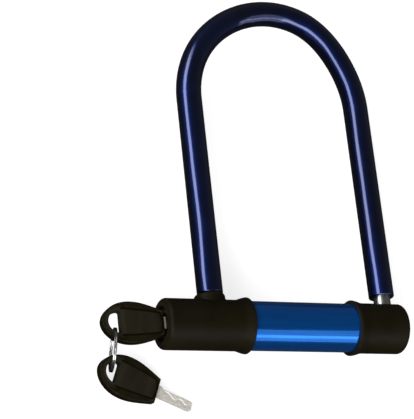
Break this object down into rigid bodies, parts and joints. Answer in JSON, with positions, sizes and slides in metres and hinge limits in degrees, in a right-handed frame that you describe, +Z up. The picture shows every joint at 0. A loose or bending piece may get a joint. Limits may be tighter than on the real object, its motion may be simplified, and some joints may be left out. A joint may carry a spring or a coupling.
{
  "type": "u lock",
  "caption": "Hinged U-shaped shackle lock with a sleeved steel bow, tubular crossbar, turning key cylinder and keys on a split ring.",
  "frame": {"origin": "on the crossbar's axis, midway between the two shackle legs", "axes": "+X along the crossbar towards the hinge end (keys are at -X), +Y up the shackle legs to the bow, +Z up from the table with the lock lying flat"},
  "size_m": [0.2245, 0.3042, 0.0388],
  "materials": {
    "hardened_steel": "bright zinc plate over a hardened steel rod",
    "steel": "plain machined steel",
    "blue_anodised": "drawn tube, glossy blue anodised",
    "cover_vinyl": "matte black moulded vinyl with a fine grain",
    "sleeve_vinyl": "glossy dark blue vinyl sleeve",
    "brass": "turned brass",
    "bronze": "sintered bronze bush",
    "spring_steel": "spring steel wire",
    "key_plastic": "satin black moulded plastic, blank panel",
    "key_steel": "nickel plated key blade with a milled track"
  },
  "bodies": {
    "crossbar": {"housing_tube": "steel", "anodised_tube": "blue_anodised", "lock_end_cover": "cover_vinyl", "hinge_end_cover": "cover_vinyl", "foot_guide_bush": "hardened_steel", "foot_socket": "steel", "socket_cross_pin": "steel", "hinge_block": "steel", "hinge_pin": "steel", "hinge_washers": "spring_steel", "hinge_block_roll_pins": "spring_steel", "cylinder_roll_pins": "spring_steel", "cylinder_face_ring": "steel", "cylinder_shell": "brass", "driver_pins": "brass", "spring_caps": "brass", "pin_springs": "spring_steel"},
    "shackle": {"shackle_rod": "hardened_steel", "shackle_sleeve": "sleeve_vinyl", "hinge_bush": "bronze"},
    "plug": {"cylinder_plug": "brass", "plug_retaining_clip": "spring_steel", "key_pins": "brass", "locking_cam": "steel", "cam_screw": "steel"},
    "key": {"key_head": "key_plastic", "key_blade": "key_steel"},
    "key_ring": {"split_ring": "spring_steel"},
    "spare_key": {"spare_key_head": "key_plastic", "spare_key_blade": "key_steel"}
  },
  "joints": [
    {"name": "shackle_swing", "type": "hinge", "parent": "crossbar", "child": "shackle", "pos_m": [0.066, 0, 0], "axis": [0, 0, -1], "range_deg": [0, 66]},
    {"name": "plug_turn", "type": "hinge", "parent": "crossbar", "child": "plug", "pos_m": [-0.086, 0, 0], "axis": [-1, 0, 0], "range_deg": [0, 90]},
    {"name": "key_withdraw", "type": "slide", "parent": "plug", "child": "key", "axis": [-1, 0, 0], "range_m": [0, 0.03]},
    {"name": "ring_swing", "type": "hinge", "parent": "key", "child": "key_ring", "pos_m": [-0.1385, -0.0105, -0.001], "axis": [-1, 0, 0], "range_deg": [0, 80]},
    {"name": "spare_key_swing", "type": "hinge", "parent": "key_ring", "child": "spare_key", "pos_m": [-0.136, -0.022, -0.0085], "axis": [-1, 0, 0], "range_deg": [0, 28]}
  ]
}
